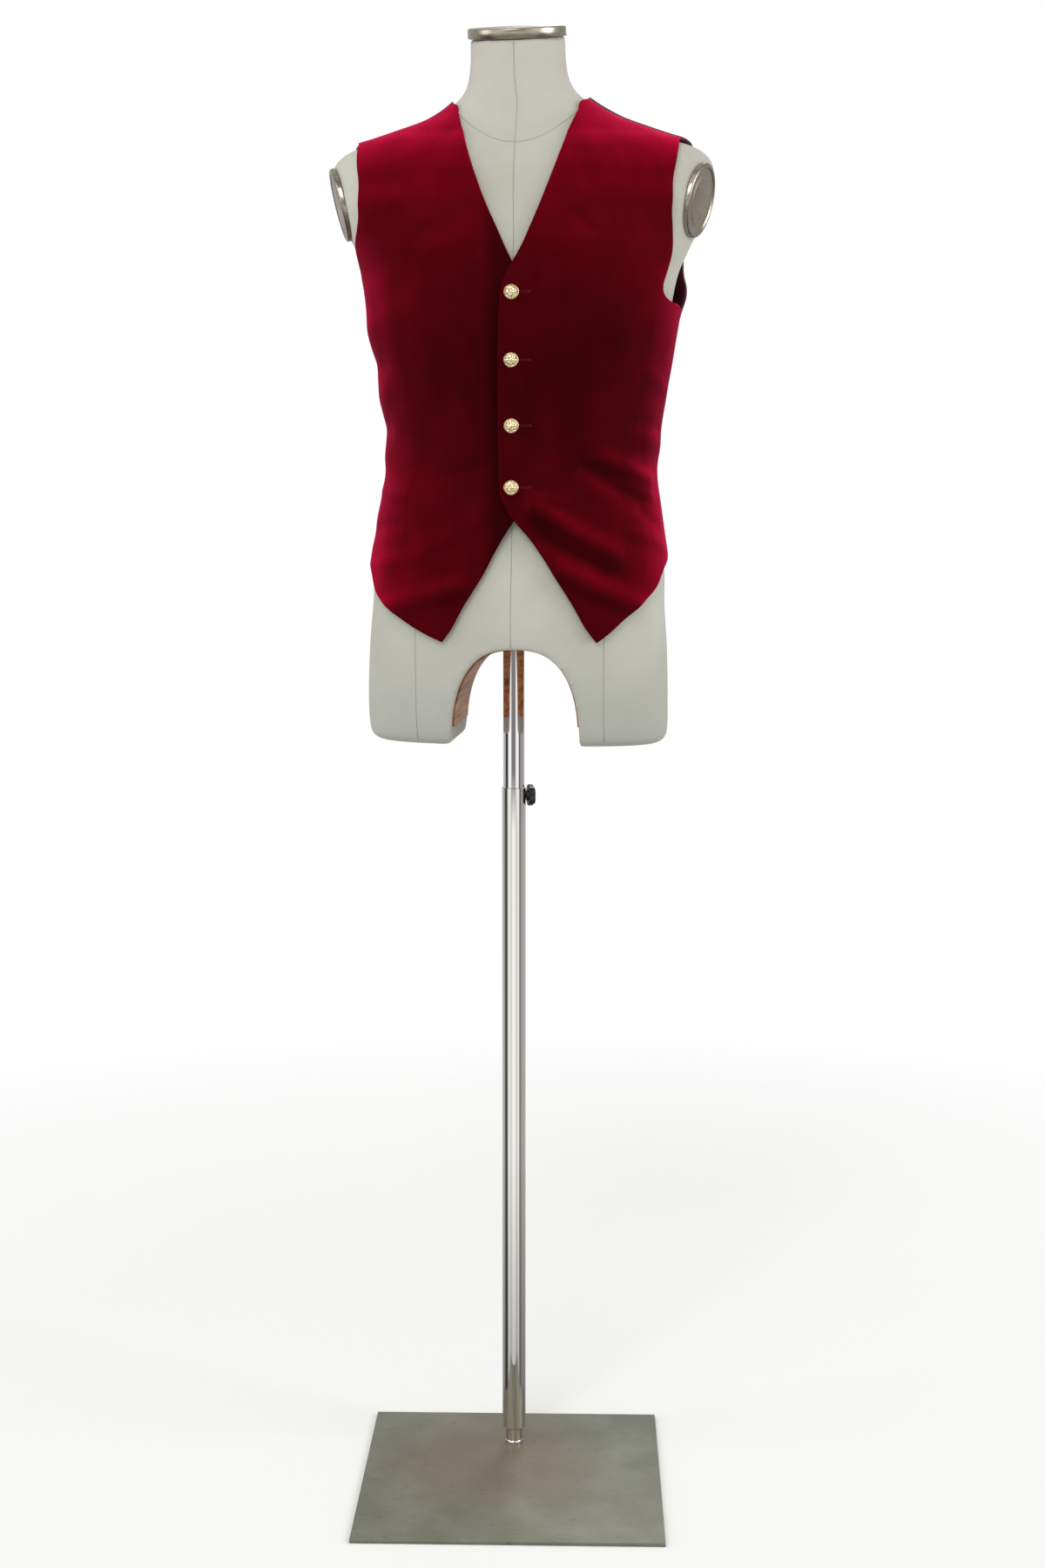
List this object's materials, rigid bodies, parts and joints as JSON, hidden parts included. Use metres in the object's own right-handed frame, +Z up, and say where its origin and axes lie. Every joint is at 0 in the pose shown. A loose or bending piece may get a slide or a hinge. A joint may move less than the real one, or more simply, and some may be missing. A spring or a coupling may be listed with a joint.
{
  "type": "velvet waistcoat on a dress form stand",
  "caption": "Sleeveless velvet waistcoat with a pointed hem and domed metal buttons, closed on a limbless dress form on a telescopic mast.",
  "frame": {"origin": "on the mast's axis, on the underside of the base plate, which rests on the floor", "axes": "+Z up along the mast, -Y is the form's front, +X is the wearer's left"},
  "size_m": [0.4423, 0.3945, 1.6916],
  "materials": {
    "velvet": "crimson cotton velvet with a short pile",
    "satin": "dark burgundy satin lining cloth",
    "form_cover": "off-white fine jersey stretched over a hard body",
    "board": "varnished tan board",
    "cap_metal": "brushed nickelled steel",
    "chrome": "polished chromed tube",
    "bright_steel": "turned bright steel",
    "plate": "worn nickelled steel with rust stains",
    "knob": "black moulded plastic",
    "button_metal": "gilt brass, polished"
  },
  "bodies": {
    "stand": {"base_plate": "plate", "foot_stud": "bright_steel", "outer_tube": "chrome"},
    "mast": {"inner_tube": "chrome"},
    "form": {"form_body": "form_cover", "tunnel_lining": "board", "neck_cap": "cap_metal", "shoulder_cap_left": "cap_metal", "shoulder_cap_right": "cap_metal", "waistcoat_front_left": "velvet", "waistcoat_front_right": "velvet", "waistcoat_back_left": "satin", "waistcoat_back_right": "satin", "button_1": "button_metal", "button_2": "button_metal", "button_3": "button_metal", "button_4": "button_metal"},
    "knob": {"clamp_knob": "knob"}
  },
  "joints": [
    {"name": "mast_slide", "type": "slide", "parent": "stand", "child": "mast", "axis": [0, 0, 1], "range_m": [-0.14, 0.25]},
    {"name": "form_swivel", "type": "hinge", "parent": "mast", "child": "form", "pos_m": [0, 0, 1.28], "axis": [0, 0, 1], "continuous": true},
    {"name": "knob_turn", "type": "hinge", "parent": "stand", "child": "knob", "pos_m": [0, 0, 0.801], "axis": [0.9511, 0.309, 0], "range_deg": [-360, 360]}
  ]
}
